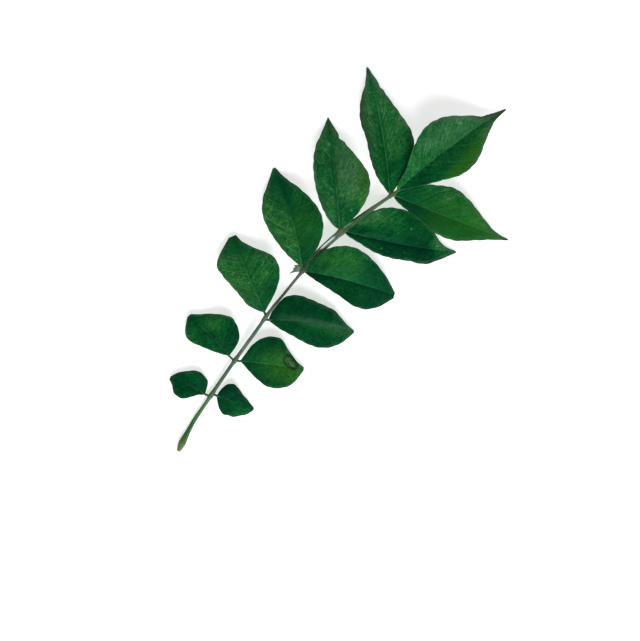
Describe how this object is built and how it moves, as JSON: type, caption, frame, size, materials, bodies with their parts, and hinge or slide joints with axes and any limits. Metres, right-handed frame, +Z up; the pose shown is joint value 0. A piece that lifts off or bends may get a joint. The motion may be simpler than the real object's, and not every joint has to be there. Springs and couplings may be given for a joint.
{
  "type": "curry leaf sprig",
  "caption": "Cut curry leaf sprig: a slender arched stem with a swollen foot, pairs of pointed toothed leaflets and one at the tip, lying on a surface.",
  "frame": {"origin": "on the surface that the sprig lies on, under the middle of its box", "axes": "+X from the cut foot to the tip of the terminal leaflet, +Y to its left, +Z up from the surface, upper side of the leaflets facing up"},
  "size_m": [0.1661, 0.0777, 0.0121],
  "materials": {
    "leaf": "glossy dark green leaf with pale veins, gland dots and paler undersides",
    "stem": "smooth stem, olive green at the foot, grey green in the middle and purplish brown above"
  },
  "bodies": {
    "root": {"frond": "leaf"}
  },
  "joints": []
}
